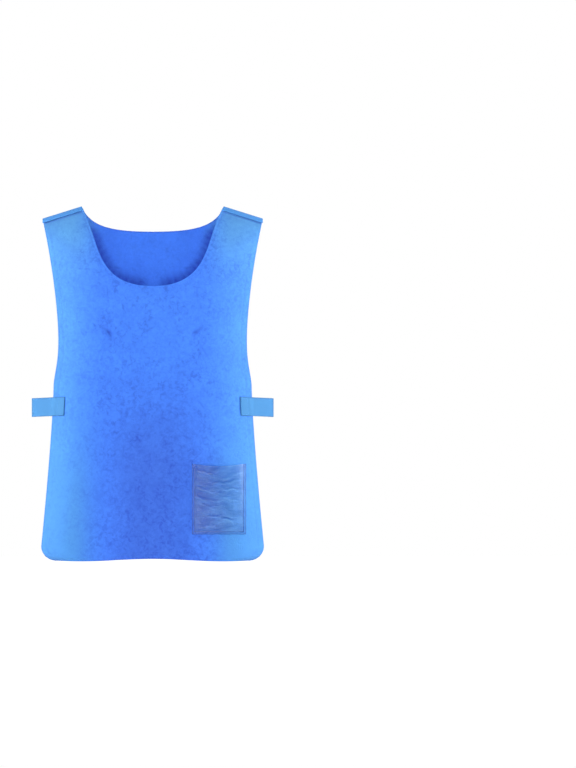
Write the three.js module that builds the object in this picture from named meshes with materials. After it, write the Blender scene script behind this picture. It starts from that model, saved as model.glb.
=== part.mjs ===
// A slip-on cooling vest: a front and a back panel of thin soft cloth, joined by a band over
// each shoulder and a strap at each side of the waist, with a patch pocket on the front.
// Millimetres. +X is the wearer's left, -Y is the front and +Z is up. The origin lies midway
// between the two neck points, where the shoulders carry the vest.
import * as THREE from "three";

// The panels' outline, seen from the front
const LENGTH = 638;
const HEM_RISE = 4.5;
const HEM_LOW_AT = 129;
const HEM_HALF = 201;
const CORNER_RADIUS = 25;
const NECK_HALF = 127.4;
const SHOULDER_HALF = 198.3;
const SHOULDER_DROP = 22.3;
const ARM_HALF = 170.2;
const ARM_DROP = 235;
const UNDERARM_HALF = 178.8;
const UNDERARM_DROP = 325;
const FRONT_NECK_DROP = 142.3;
const BACK_NECK_DROP = 43.3;

// How far the cloth stands off the middle of the body
const SHOULDER_ROUND = 30;
const CHEST_DROP = 200;
const CHEST_DEPTH = 92;
const BACK_DEPTH = 88;
const HEM_DEPTH = 86;
const EDGE_DEPTH = 42;
const FOLD_DEPTH = 3;

// The cloth and the pieces sewn on it
const CLOTH = 2;
const CLEARANCE = 0.3;
const BAND_CLOTH = 1.6;
const BAND_FRONT = 21;
const BAND_BACK = 12;
const STRAP_CLOTH = 2;
const STRAP_TOP = 341.5;
const STRAP_HEIGHT = 34;
const STRAP_SEWN = 22;
const STRAP_BOW = 37;
const POCKET_FILM = 1;
const POCKET_MIDDLE = 119.7;
const POCKET_WIDTH = 96.2;
const POCKET_HEIGHT = 127.4;
const POCKET_ABOVE_HEM = 48.8;
const POCKET_DIP = 4;
const POCKET_GAPE = 4;

// The panels' top edges lie under the band
const TOP = -(BAND_CLOTH + CLEARANCE);

// How each neckline leaves its lowest point and the neck point: the pull at each end as a
// share of the neck's half width, and the steepness at the neck point in degrees
const FRONT = {
  side: -1,
  depth: CHEST_DEPTH,
  neckDrop: FRONT_NECK_DROP,
  neckPull: 0.848,
  neckEndPull: 0.487,
  neckSteep: 58,
  band: BAND_FRONT,
  bandSteps: 4,
  roundSteps: 2,
};
const BACK = {
  side: 1,
  depth: BACK_DEPTH,
  neckDrop: BACK_NECK_DROP,
  neckPull: 0.581,
  neckEndPull: 0.298,
  neckSteep: 66.1,
  band: BAND_BACK,
  bandSteps: 3,
  roundSteps: 3,
};

// Soft folds of the cloth. Across and wide are shares of the half width, top and full are
// shares of the length, where a fold begins and where it is at its fullest, and deep is a
// share of the fold depth, inward where it is positive.
const FOLDS = [
  { panel: FRONT, across: -0.5, wide: 0.17, top: 0.5, full: 1, deep: 0.9 },
  { panel: FRONT, across: -0.14, wide: 0.15, top: 0.42, full: 0.95, deep: -0.8 },
  { panel: FRONT, across: 0.2, wide: 0.16, top: 0.5, full: 1, deep: 0.9 },
  { panel: FRONT, across: 0.74, wide: 0.15, top: 0.62, full: 1, deep: -0.7 },
  { panel: FRONT, across: -0.78, wide: 0.16, top: 0.45, full: 0.8, deep: -0.6 },
  { panel: BACK, across: -0.6, wide: 0.17, top: 0.45, full: 1, deep: 0.8 },
  { panel: BACK, across: -0.22, wide: 0.15, top: 0.35, full: 0.9, deep: -0.7 },
  { panel: BACK, across: 0.12, wide: 0.16, top: 0.5, full: 1, deep: 0.9 },
  { panel: BACK, across: 0.55, wide: 0.17, top: 0.4, full: 1, deep: -0.8 },
];

// How finely the cloth is divided
const NECK_COLUMNS = 10;
const SHOULDER_COLUMNS = 4;
const SEWN_COLUMNS = 2;
const BODY_ROWS = 10;
const STRAP_ROWS = 2;
const SKIRT_ROWS = 7;
const BOW_STEPS = 12;
const POCKET_COLUMNS = 12;
const POCKET_ROWS = 10;

const mix = (a, b, t) => a + (b - a) * t;
const clamp = (t) => Math.min(1, Math.max(0, t));
const smooth = (t) => clamp(t) ** 2 * (3 - 2 * clamp(t));

// The shoulder line's drop below the neck points. Inside the neck it runs on as a hollow
// curve, so that the chest below it has no crease.
function ridgeDrop(x) {
  const slope = SHOULDER_DROP / (SHOULDER_HALF - NECK_HALF);
  const from = Math.abs(x);
  if (from >= NECK_HALF) return slope * (from - NECK_HALF);
  return (slope * (from ** 2 - NECK_HALF ** 2)) / (2 * NECK_HALF);
}

// The hem's drop, with its two low points and its rounded corners
function hemDrop(x) {
  const wave = 0.5 + 0.5 * Math.cos((Math.PI * x) / HEM_LOW_AT);
  const beyond = Math.abs(x) - (HEM_HALF - CORNER_RADIUS);
  const past = Math.min(CORNER_RADIUS, Math.max(0, beyond));
  const corner = CORNER_RADIUS - Math.sqrt(CORNER_RADIUS ** 2 - past ** 2);
  return LENGTH - HEM_RISE * wave - corner;
}

const CORNER_HALF = HEM_HALF - CORNER_RADIUS * (1 - Math.SQRT1_2);
const CORNER_DROP = hemDrop(CORNER_HALF);
const CORNER_START = CORNER_DROP - CORNER_RADIUS * Math.SQRT1_2;

// The panels' half width: in along the armhole, out under the arm and on to the hem
function sideHalf(drop) {
  if (drop < ARM_DROP) {
    const t = clamp((drop - SHOULDER_DROP) / (ARM_DROP - SHOULDER_DROP));
    return mix(ARM_HALF, SHOULDER_HALF, (1 - t) ** 1.6);
  }
  if (drop < UNDERARM_DROP) {
    const t = (drop - ARM_DROP) / (UNDERARM_DROP - ARM_DROP);
    return mix(ARM_HALF, UNDERARM_HALF, smooth(t ** 1.5));
  }
  const t = clamp((drop - UNDERARM_DROP) / (CORNER_START - UNDERARM_DROP));
  const past = Math.min(CORNER_RADIUS, Math.max(0, drop - CORNER_START));
  const corner = CORNER_RADIUS - Math.sqrt(CORNER_RADIUS ** 2 - past ** 2);
  return mix(UNDERARM_HALF, HEM_HALF, t ** 1.3) - corner;
}

// How far the folds take the cloth inward
function foldIn(panel, x, drop) {
  const across = x / sideHalf(drop);
  return FOLDS.filter((f) => f.panel === panel).reduce((sum, f) => {
    const down = smooth((drop / LENGTH - f.top) / (f.full - f.top));
    const near = Math.exp(-(((across - f.across) / f.wide) ** 2));
    return sum + FOLD_DEPTH * f.deep * down * near;
  }, 0);
}

// A point on the panel's outer face: a rounded ridge at the shoulder, a slope out to the
// chest, and a section that turns back towards its two edges
function faceAt(panel, x, drop) {
  const below = Math.max(0, drop - ridgeDrop(x));
  const round = Math.sqrt(1 - (1 - clamp(below / SHOULDER_ROUND)) ** 2);
  const out = Math.sin((Math.PI / 2) * clamp(below / CHEST_DROP));
  const down = smooth((drop - CHEST_DROP) / (LENGTH - CHEST_DROP));
  const depth = mix(panel.depth, HEM_DEPTH, down);
  const across = Math.min(1, Math.abs(x) / sideHalf(drop));
  const section = Math.sqrt(depth ** 2 - (depth ** 2 - EDGE_DEPTH ** 2) * across ** 4);
  const stand = SHOULDER_ROUND * round + (section - SHOULDER_ROUND) * out;
  const y = panel.side * (stand - foldIn(panel, x, drop));
  return new THREE.Vector3(x, y, TOP - drop);
}

// The outward direction of the panel's outer face, away from the ridge
function outwardAt(panel, x, drop) {
  const step = 0.5;
  const over = faceAt(panel, x + step, drop).sub(faceAt(panel, x - step, drop));
  const down = faceAt(panel, x, drop + step).sub(faceAt(panel, x, drop - step));
  return over.cross(down).multiplyScalar(panel.side).normalize();
}

// The right half of a neckline, from its lowest point to the neck point, in points that lie
// evenly along the cloth
function neckline(panel) {
  const steep = THREE.MathUtils.degToRad(panel.neckSteep);
  const end = NECK_HALF * panel.neckEndPull;
  const curve = new THREE.CubicBezierCurve(
    new THREE.Vector2(0, panel.neckDrop),
    new THREE.Vector2(NECK_HALF * panel.neckPull, panel.neckDrop),
    new THREE.Vector2(NECK_HALF - end * Math.cos(steep), end * Math.sin(steep)),
    new THREE.Vector2(NECK_HALF, 0),
  );
  const fine = curve.getPoints(400);
  const lengths = [0];
  fine.slice(1).forEach((p, i) => {
    const step = faceAt(panel, p.x, p.y).distanceTo(faceAt(panel, fine[i].x, fine[i].y));
    lengths.push(lengths[i] + step);
  });
  const whole = lengths[lengths.length - 1];
  return (share) => {
    const next = Math.max(1, lengths.findIndex((d) => d >= share * whole));
    const t = (share * whole - lengths[next - 1]) / (lengths[next] - lengths[next - 1]);
    return fine[next - 1].clone().lerp(fine[next], clamp(t));
  };
}

// The columns' places across a panel, as shares of its half width. One lies at each neck
// point and one at the sewn end of each strap.
function columnShares() {
  const neck = NECK_HALF / SHOULDER_HALF;
  const sewn = 1 - STRAP_SEWN / sideHalf(STRAP_TOP + STRAP_HEIGHT / 2);
  const half = [];
  for (let i = 1; i <= NECK_COLUMNS; i++) half.push((neck * i) / NECK_COLUMNS);
  for (let i = 1; i <= SHOULDER_COLUMNS; i++) half.push(mix(neck, sewn, i / SHOULDER_COLUMNS));
  for (let i = 1; i <= SEWN_COLUMNS; i++) half.push(mix(sewn, 1, i / SEWN_COLUMNS));
  return [...half.map((u) => -u).reverse(), 0, ...half];
}

// The rows' places down a panel's side edge, as drops. They step round the shoulder's ridge
// under the band, and one lies at the strap's top and one at its bottom.
function rowDrops(panel) {
  const bandTurn = panel.band / SHOULDER_ROUND;
  const turns = [];
  for (let i = 0; i <= panel.bandSteps; i++) turns.push((bandTurn * i) / panel.bandSteps);
  for (let i = 1; i <= panel.roundSteps; i++)
    turns.push(mix(bandTurn, Math.PI / 2, i / panel.roundSteps));
  const drops = turns.map((a) => SHOULDER_DROP + SHOULDER_ROUND * (1 - Math.cos(a)));
  const strapEnd = STRAP_TOP + STRAP_HEIGHT;
  const add = (to, steps) => {
    const from = drops[drops.length - 1];
    for (let i = 1; i <= steps; i++) drops.push(mix(from, to, i / steps));
  };
  add(STRAP_TOP, BODY_ROWS);
  add(strapEnd, STRAP_ROWS);
  add(CORNER_START, SKIRT_ROWS);
  add(CORNER_DROP, 1);
  return drops;
}

// A panel's outer face as rows of points with their outward directions. The columns run from
// the neckline or the shoulder line to the hem.
function panelFace(panel) {
  const edge = neckline(panel);
  const neck = NECK_HALF / SHOULDER_HALF;
  const shares = columnShares();
  const drops = rowDrops(panel);
  const flat = drops.map((sideDrop) => {
    const v = (sideDrop - SHOULDER_DROP) / (CORNER_DROP - SHOULDER_DROP);
    return shares.map((u) => {
      const inNeck = Math.abs(u) < neck;
      const onNeck = inNeck ? edge(Math.abs(u) / neck) : null;
      const topX = inNeck ? Math.sign(u) * onNeck.x : u * SHOULDER_HALF;
      const topDrop = inNeck ? onNeck.y : ridgeDrop(topX);
      const hemX = u * CORNER_HALF;
      const pull = sideHalf(sideDrop) - mix(SHOULDER_HALF, CORNER_HALF, v);
      return { x: mix(topX, hemX, v) + u * pull, drop: mix(topDrop, hemDrop(hemX), v) };
    });
  });
  const points = flat.map((row) => row.map((p) => faceAt(panel, p.x, p.drop)));
  return { points, outward: outwardOf(points, shares, panel) };
}

// The outward direction at each point of a panel's face. On the shoulder line the row above
// is the other panel's, mirrored.
function outwardOf(points, shares, panel) {
  const neck = NECK_HALF / SHOULDER_HALF;
  const last = points.length - 1;
  const side = shares.length - 1;
  return points.map((row, r) =>
    row.map((p, c) => {
      const over = row[Math.min(c + 1, side)].clone().sub(row[Math.max(c - 1, 0)]);
      const lower = points[Math.min(r + 1, last)][c];
      const upper = points[Math.max(r - 1, 0)][c].clone();
      const onRidge = r === 0 && Math.abs(shares[c]) >= neck - 1e-9;
      if (onRidge) upper.set(lower.x, -lower.y, lower.z);
      const down = lower.clone().sub(upper);
      return over.cross(down).multiplyScalar(panel.side).normalize();
    }),
  );
}

// Rows of points set off along their outward directions
function offset(points, outward, far) {
  return points.map((row, r) => row.map((p, c) => p.clone().addScaledVector(outward[r][c], far)));
}

// A closed sheet between an outer and an inner face. Both are rows of points that run down
// and left to right as seen from outside.
function sheet(outer, inner) {
  const rows = outer.length;
  const columns = outer[0].length;
  const at = (r, c) => r * columns + c;
  const count = rows * columns;
  const faces = [];
  for (let r = 0; r + 1 < rows; r++)
    for (let c = 0; c + 1 < columns; c++) {
      const [a, b, d, e] = [at(r, c), at(r + 1, c), at(r + 1, c + 1), at(r, c + 1)];
      faces.push(a, b, d, a, d, e);
      faces.push(a + count, d + count, b + count, a + count, e + count, d + count);
    }
  const rim = [];
  for (let r = 0; r < rows - 1; r++) rim.push(at(r, 0));
  for (let c = 0; c < columns - 1; c++) rim.push(at(rows - 1, c));
  for (let r = rows - 1; r > 0; r--) rim.push(at(r, columns - 1));
  for (let c = columns - 1; c > 0; c--) rim.push(at(0, c));
  rim.forEach((a, i) => {
    const b = rim[(i + 1) % rim.length];
    faces.push(b, a, a + count, b, a + count, b + count);
  });
  const places = [...outer, ...inner].flat().flatMap((p) => p.toArray());
  const geometry = new THREE.BufferGeometry();
  geometry.setAttribute("position", new THREE.Float32BufferAttribute(places, 3));
  geometry.setIndex(faces);
  geometry.computeVertexNormals();
  return geometry;
}

const mirrored = (rows) => rows.map((row) => [...row].reverse());

function piece(name, geometry, look) {
  const mesh = new THREE.Mesh(geometry, new THREE.MeshStandardMaterial(look));
  mesh.name = name;
  return mesh;
}

const VEST_CLOTH = { color: 0x4581fa, roughness: 0.85, metalness: 0 };
const BAND_LOOK = { color: 0x5596f8, roughness: 0.8, metalness: 0 };
const FILM_LOOK = {
  color: 0x6a98dc,
  roughness: 0.35,
  metalness: 0,
  transparent: true,
  opacity: 0.6,
};

const FRONT_FACE = panelFace(FRONT);
const BACK_FACE = panelFace(BACK);

// A panel of cloth. Its top edge stops half a clearance short of the other panel's.
function clothPanel(name, panel, face) {
  const outer = face.points.map((row) =>
    row.map((p) => {
      const away = Math.max(CLEARANCE / 2, Math.abs(p.y));
      return new THREE.Vector3(p.x, panel.side * away, p.z);
    }),
  );
  const inner = offset(outer, face.outward, -CLOTH);
  const seen = panel.side < 0 ? [outer, inner] : [mirrored(outer), mirrored(inner)];
  return piece(name, sheet(...seen), VEST_CLOTH);
}

// The band over one shoulder, from its back edge over the ridge to its front edge
function shoulderBand(name, side) {
  const columns = SHOULDER_COLUMNS + SEWN_COLUMNS;
  const all = columnShares().length;
  const from = side > 0 ? all - 1 - columns : 0;
  const strip = (rows) => rows.map((row) => row.slice(from, from + columns + 1));
  const lay = (face, steps) => ({
    points: strip(face.points.slice(0, steps + 1)),
    outward: strip(face.outward.slice(0, steps + 1)),
  });
  const back = lay(BACK_FACE, BACK.bandSteps);
  const front = lay(FRONT_FACE, FRONT.bandSteps);
  const points = [...back.points.reverse(), ...front.points.slice(1)];
  const outward = [...back.outward.reverse(), ...front.outward.slice(1)];
  const inner = offset(points, outward, CLEARANCE);
  const outer = offset(points, outward, CLEARANCE + BAND_CLOTH);
  return piece(name, sheet(outer, inner), BAND_LOOK);
}

// The strap at one side: sewn on the front panel's edge, bowed out, sewn on the back panel's
function sideStrap(name, side) {
  const firstRow = (panel) => panel.bandSteps + panel.roundSteps + BODY_ROWS;
  const last = columnShares().length - 1;
  const sewn = [];
  for (let i = SEWN_COLUMNS; i >= 0; i--) sewn.push(side > 0 ? last - i : i);
  const rows = [];
  for (let i = 0; i <= STRAP_ROWS; i++) {
    const lay = (panel, face, far) => {
      const r = firstRow(panel) + i;
      return sewn.map((c) => face.points[r][c].clone().addScaledVector(face.outward[r][c], far));
    };
    rows.push(strapRow(lay, side));
  }
  const outer = rows.map((row) => row.outer);
  const inner = rows.map((row) => row.inner);
  const seen = side > 0 ? [outer, inner] : [mirrored(outer), mirrored(inner)];
  return piece(name, sheet(...seen), BAND_LOOK);
}

// One level line of the strap, with its inner and outer points
function strapRow(lay, side) {
  const middle = STRAP_CLOTH / 2 + CLEARANCE;
  const front = lay(FRONT, FRONT_FACE, middle);
  const back = lay(BACK, BACK_FACE, middle).reverse();
  const start = front[front.length - 1];
  const end = back[0];
  const reach = side * (Math.abs(start.x) + STRAP_BOW);
  const bulge = Math.abs(reach - start.x);
  const top = new THREE.Vector3(reach, (start.y + end.y) / 2, (start.z + end.z) / 2);
  const half = (a, sign) =>
    new THREE.CubicBezierCurve3(
      a,
      a.clone().add(new THREE.Vector3(side * bulge * 0.4, sign * bulge * 0.42, 0)),
      top.clone().add(new THREE.Vector3(0, -sign * bulge * 0.5, 0)),
      top,
    ).getPoints(BOW_STEPS / 2);
  const out = half(start, 1);
  const home = half(end, -1).reverse();
  const line = [...front.slice(0, -1), ...out, ...home.slice(1), ...back.slice(1)];
  const across = line.map((p, i) => {
    const before = line[Math.max(0, i - 1)];
    const after = line[Math.min(line.length - 1, i + 1)];
    return new THREE.Vector3(after.y - before.y, before.x - after.x, 0)
      .normalize()
      .multiplyScalar(side);
  });
  const set = (far) => line.map((p, i) => p.clone().addScaledVector(across[i], far));
  return { outer: set(STRAP_CLOTH / 2), inner: set(-STRAP_CLOTH / 2) };
}

// The pocket's film, close on the front panel but standing off a little at its open top
function pocketSheet(name) {
  const bottom = LENGTH - POCKET_ABOVE_HEM;
  const outer = [];
  const inner = [];
  for (let r = 0; r <= POCKET_ROWS; r++) {
    const down = r / POCKET_ROWS;
    const lines = { outer: [], inner: [] };
    for (let c = 0; c <= POCKET_COLUMNS; c++) {
      const across = c / POCKET_COLUMNS;
      const bow = Math.sin(Math.PI * across);
      const x = POCKET_MIDDLE + POCKET_WIDTH * (across - 0.5);
      const top = bottom - POCKET_HEIGHT + POCKET_DIP * bow;
      const drop = mix(top, bottom, down);
      const off = CLEARANCE + POCKET_GAPE * bow * (1 - down) ** 2;
      const onCloth = faceAt(FRONT, x, drop);
      const outward = outwardAt(FRONT, x, drop);
      lines.inner.push(onCloth.clone().addScaledVector(outward, off));
      lines.outer.push(onCloth.clone().addScaledVector(outward, off + POCKET_FILM));
    }
    outer.push(lines.outer);
    inner.push(lines.inner);
  }
  return piece(name, sheet(outer, inner), FILM_LOOK);
}

const vest = new THREE.Group();
vest.name = "cooling_vest";
vest.add(
  clothPanel("front_panel", FRONT, FRONT_FACE),
  clothPanel("back_panel", BACK, BACK_FACE),
  shoulderBand("shoulder_band_left", 1),
  shoulderBand("shoulder_band_right", -1),
  sideStrap("side_strap_left", 1),
  sideStrap("side_strap_right", -1),
  pocketSheet("pocket"),
);

export default vest;
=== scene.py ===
# %% [markdown]
# # A cooling vest, shown as worn
#
# The vest is a slip-on tabard: a front and a back of thin, soft cloth, a band over each
# shoulder, a strap at each side of the waist and a see-through patch pocket. The frame holds
# its plain solids. Each is replaced here by a fine surface of the same form, with hems,
# stitches, creases and the grain of the cloth. Metres, +Z up, the front at -Y.

import bpy
import mathutils
import numpy as np
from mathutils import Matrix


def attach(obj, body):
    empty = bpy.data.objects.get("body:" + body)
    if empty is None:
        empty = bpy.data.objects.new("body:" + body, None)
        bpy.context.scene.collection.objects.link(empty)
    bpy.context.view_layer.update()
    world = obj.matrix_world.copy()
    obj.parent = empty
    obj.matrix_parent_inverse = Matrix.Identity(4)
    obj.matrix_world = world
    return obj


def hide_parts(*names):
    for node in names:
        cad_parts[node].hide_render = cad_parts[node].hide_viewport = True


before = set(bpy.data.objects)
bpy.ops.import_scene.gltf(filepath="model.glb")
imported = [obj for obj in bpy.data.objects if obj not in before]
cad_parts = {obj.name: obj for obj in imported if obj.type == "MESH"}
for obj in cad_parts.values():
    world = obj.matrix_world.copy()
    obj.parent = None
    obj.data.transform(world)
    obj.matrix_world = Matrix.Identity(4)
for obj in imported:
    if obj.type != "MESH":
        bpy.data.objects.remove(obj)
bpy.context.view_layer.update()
print("nodes:", sorted(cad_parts))

# %% [markdown]
# ## Sizes
#
# These are the sizes that the solids were made from, in millimetres. A drop is how far a
# point lies below the two neck points. The cloth's own sizes could be measured from the
# nodes' boxes instead, but curves such as the neckline need their inner sizes as well.

# %% Sizes
MM = 0.001
LENGTH, HEM_RISE, HEM_LOW_AT, HEM_HALF, CORNER = 638.0, 4.5, 129.0, 201.0, 25.0
NECK_HALF, SHOULDER_HALF, SHOULDER_DROP = 127.4, 198.3, 22.3
ARM_HALF, ARM_DROP = 170.2, 235.0
UNDERARM_HALF, UNDERARM_DROP = 178.8, 325.0
SHOULDER_ROUND, CHEST_DROP, HEM_DEPTH, EDGE_DEPTH, FOLD_DEPTH = 30.0, 200.0, 86.0, 42.0, 3.0
CLOTH, CLEARANCE, BAND_CLOTH = 2.0, 0.3, 1.6
BAND_FRONT, BAND_BACK = 21.0, 12.0
STRAP_CLOTH, STRAP_TOP, STRAP_HEIGHT, STRAP_SEWN, STRAP_BOW = 2.0, 341.5, 34.0, 22.0, 37.0
POCKET_MIDDLE, POCKET_WIDTH, POCKET_HEIGHT, POCKET_ABOVE_HEM = 119.7, 96.2, 127.4, 48.8
POCKET_DIP, POCKET_GAPE, POCKET_FILM = 4.0, 4.0, 1.0
TOP = -(BAND_CLOTH + CLEARANCE)

FRONT = dict(side=-1, depth=92.0, neck_drop=142.3, pull=0.848, end_pull=0.487, steep=58.0)
BACK = dict(side=1, depth=88.0, neck_drop=43.3, pull=0.581, end_pull=0.298, steep=66.1)
FRONT["folds"] = [
    # across, wide, top, full, deep
    (-0.5, 0.17, 0.5, 1.0, 0.9),
    (-0.14, 0.15, 0.42, 0.95, -0.8),
    (0.2, 0.16, 0.5, 1.0, 0.9),
    (0.74, 0.15, 0.62, 1.0, -0.7),
    (-0.78, 0.16, 0.45, 0.8, -0.6),
]
BACK["folds"] = [
    (-0.6, 0.17, 0.45, 1.0, 0.8),
    (-0.22, 0.15, 0.35, 0.9, -0.7),
    (0.12, 0.16, 0.5, 1.0, 0.9),
    (0.55, 0.17, 0.4, 1.0, -0.8),
]

# %% [markdown]
# ## The form
#
# Each panel is worked out as it is seen from the front, as points with an x and a drop, and
# is then lifted off the picture's plane: a round ridge on the shoulder, a slope out to the
# chest, and a section that turns back at both edges. A cloth simulation over a body could
# give such a form too, but it would not keep the outline that was measured.

# %% The form
def smooth(t):
    """0 below 0, 1 above 1, and 3t^2 - 2t^3 between."""
    t = np.clip(t, 0, 1)
    return t * t * (3 - 2 * t)


def blend(a, b, t):
    return a + (b - a) * t


def bell(off, wide):
    """exp(-(off / wide)^2): 1 at the middle, and near 0 two widths away from it."""
    return np.exp(-((off / wide) ** 2))


def unit(vectors):
    return vectors / np.linalg.norm(vectors, axis=-1, keepdims=True)


def cubic(a, b, c, d, t):
    """(1-t)^3 a + 3 (1-t)^2 t b + 3 (1-t) t^2 c + t^3 d: from a to d, drawn towards b and c."""
    return (1 - t) ** 3 * a + 3 * (1 - t) ** 2 * t * b + 3 * (1 - t) * t**2 * c + t**3 * d


def ridge_drop(x):
    """The shoulder line: straight outside the neck, and a parabola that meets it inside."""
    slope = SHOULDER_DROP / (SHOULDER_HALF - NECK_HALF)
    out = slope * (np.abs(x) - NECK_HALF)
    inside = slope * (x**2 - NECK_HALF**2) / (2 * NECK_HALF)
    return np.where(np.abs(x) >= NECK_HALF, out, inside)


def rounding(past):
    """How far a quarter circle of the corner's radius has risen, past its start."""
    past = np.clip(past, 0, CORNER)
    return CORNER - np.sqrt(CORNER**2 - past**2)


def hem_drop(x):
    """The hem: a slow wave with two low points, less the rounding at the corners."""
    wave = 0.5 + 0.5 * np.cos(np.pi * x / HEM_LOW_AT)
    return LENGTH - HEM_RISE * wave - rounding(np.abs(x) - (HEM_HALF - CORNER))


CORNER_HALF = HEM_HALF - CORNER * (1 - np.sqrt(0.5))
CORNER_DROP = float(hem_drop(CORNER_HALF))
CORNER_START = CORNER_DROP - CORNER * np.sqrt(0.5)


def side_half(drop):
    """Half the width: in along the armhole, out under the arm, and on to the hem."""
    arm = np.clip((drop - SHOULDER_DROP) / (ARM_DROP - SHOULDER_DROP), 0, 1)
    under = np.clip((drop - ARM_DROP) / (UNDERARM_DROP - ARM_DROP), 0, 1)
    skirt = np.clip((drop - UNDERARM_DROP) / (CORNER_START - UNDERARM_DROP), 0, 1)
    half = blend(ARM_HALF, SHOULDER_HALF, (1 - arm) ** 1.6)
    half = half + (UNDERARM_HALF - ARM_HALF) * smooth(under**1.5)
    half = half + (HEM_HALF - UNDERARM_HALF) * skirt**1.3
    return half - rounding(drop - CORNER_START)


def fold_in(panel, x, drop):
    """The broad folds: each a bell across the panel that grows down it."""
    across, down = x / side_half(drop), drop / LENGTH
    total = np.zeros(np.broadcast(x, drop).shape)
    for at, wide, top, full, deep in panel["folds"]:
        total += FOLD_DEPTH * deep * smooth((down - top) / (full - top)) * bell(across - at, wide)
    return total


def face_at(panel, x, drop):
    """Points of the outer face, in mm: y = side * (R * round + (section - R) * out - folds)."""
    below = np.maximum(0, drop - ridge_drop(x))
    ridge = np.sqrt(1 - (1 - np.clip(below / SHOULDER_ROUND, 0, 1)) ** 2)
    out = np.sin(np.pi / 2 * np.clip(below / CHEST_DROP, 0, 1))
    depth = blend(panel["depth"], HEM_DEPTH, smooth((drop - CHEST_DROP) / (LENGTH - CHEST_DROP)))
    across = np.minimum(1, np.abs(x) / side_half(drop))
    section = np.sqrt(depth**2 - (depth**2 - EDGE_DEPTH**2) * across**4)
    stand = SHOULDER_ROUND * ridge + (section - SHOULDER_ROUND) * out - fold_in(panel, x, drop)
    return np.stack(np.broadcast_arrays(x, panel["side"] * stand, TOP - drop), axis=-1)


def outward_at(panel, x, drop, step=0.5):
    """The outward direction, from the cross product of the slopes across and down."""
    over = face_at(panel, x + step, drop) - face_at(panel, x - step, drop)
    down = face_at(panel, x, drop + step) - face_at(panel, x, drop - step)
    return unit(np.cross(over, down) * panel["side"])


def neckline(panel, count=2000):
    """The right half of the neckline as (x, drop), one cubic curve."""
    steep, end = np.radians(panel["steep"]), NECK_HALF * panel["end_pull"]
    a = np.array([0, panel["neck_drop"]])
    b = np.array([NECK_HALF * panel["pull"], panel["neck_drop"]])
    c = np.array([NECK_HALF - end * np.cos(steep), end * np.sin(steep)])
    d = np.array([NECK_HALF, 0.0])
    t = np.linspace(0, 1, count)[:, None]
    return cubic(a, b, c, d, t)


def travelled(points):
    """How far a line has gone at each of its points."""
    return np.r_[0, np.cumsum(np.linalg.norm(np.diff(points, axis=0), axis=1))]


def at_places(points, gone, places):
    """Points on a line where it has gone as far as the places say."""
    return np.stack([np.interp(places, gone, points[:, i]) for i in range(points.shape[1])], -1)


def along(points, shares):
    """Points at the given shares of a line's length."""
    gone = travelled(points)
    return at_places(points, gone / gone[-1], shares)


NECK_SHARE = NECK_HALF / SHOULDER_HALF


def panel_net(panel, shares, side_drops):
    """(x, drop) of a net of rows and columns over a panel. Columns run from the neckline or the
    shoulder line to the hem, and are drawn in or out as the side edge is."""
    curve = neckline(panel)
    gone = travelled(face_at(panel, curve[:, 0], curve[:, 1]))
    inside = np.abs(shares) < NECK_SHARE
    part = np.clip(np.abs(shares) / NECK_SHARE, 0, 1) * gone[-1]
    neck_x, neck_drop = at_places(curve, gone, part).T
    top_x = np.where(inside, np.sign(shares) * neck_x, shares * SHOULDER_HALF)
    top_drop = np.where(inside, neck_drop, ridge_drop(top_x))
    hem_x = shares * CORNER_HALF
    v = ((side_drops - SHOULDER_DROP) / (CORNER_DROP - SHOULDER_DROP))[:, None]
    pull = side_half(side_drops)[:, None] - blend(SHOULDER_HALF, CORNER_HALF, v)
    return blend(top_x, hem_x, v) + shares * pull, blend(top_drop, hem_drop(hem_x), v)


print("corner at", round(CORNER_HALF, 1), round(CORNER_DROP, 1))

# %% [markdown]
# ## Creases
#
# The cloth is soft and a little stiff when dry, so it holds hundreds of short, shallow
# creases, thickest on the chest and down the lower middle. Each is a tapered groove with a
# low ridge beside it. The main ones are in a table, and a seeded field gives
# the small ones. Most lie alike on both halves, as in the photograph.

# %% Creases
MAIN_CREASES = [
    # across, drop, length, width, turn, deep
    (83, 221, 24, 11.0, -32, 0.75),
    (77, 229, 15, 8.0, -55, 0.6),
    (80, 153, 22, 3.6, 88, 0.6),
    (60, 188, 12, 5.0, 35, 0.5),
    (52, 192, 16, 4.0, 50, 0.5),
    (78, 202, 10, 5.0, 60, 0.5),
    (92, 258, 30, 5.0, 55, 0.5),
    (55, 262, 12, 6.0, -20, 0.5),
    (104, 214, 10, 5.0, 15, 0.3),
    (141, 241, 10, 5.0, 30, 0.6),
    (60, 352, 14, 6.0, 24, 0.6),
    (88, 356, 22, 4.5, 52, 0.6),
    (44, 363, 12, 5.0, 20, 0.5),
    (60, 414, 16, 4.5, 32, 0.8),
    (52, 440, 20, 4.0, 80, 0.7),
    (34, 472, 14, 5.0, -30, 0.6),
    (20, 498, 12, 6.0, -60, 0.6),
    (24, 541, 14, 6.0, 40, 0.8),
    (40, 545, 8, 5.0, 80, 0.5),
    (53, 512, 16, 4.0, 85, 0.5),
    (28, 590, 30, 7.0, 12, 0.4),
]
ALIKE_COUNT, OWN_COUNT = 230, 110
RIDGE_SHARE = 0.35
rng = np.random.default_rng(7)


def small_creases(count, seats):
    """Short grooves scattered in bells round the seats, as rows like the main ones."""
    seat = seats[rng.integers(0, len(seats), count)]
    rows = np.empty((count, 6))
    rows[:, 0] = np.maximum(np.abs(seat[:, 0] + seat[:, 2] * rng.normal(size=count)), 14)
    rows[:, 1] = seat[:, 1] + seat[:, 3] * rng.normal(size=count)
    rows[:, 2] = rng.uniform(5, 17, count)
    rows[:, 3] = rng.uniform(2.2, 4.6, count)
    rows[:, 4] = rng.normal(0, 38, count) + np.where(rng.random(count) < 0.3, 90, 0)
    rows[:, 5] = rng.uniform(0.15, 0.5, count)
    return rows


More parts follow.
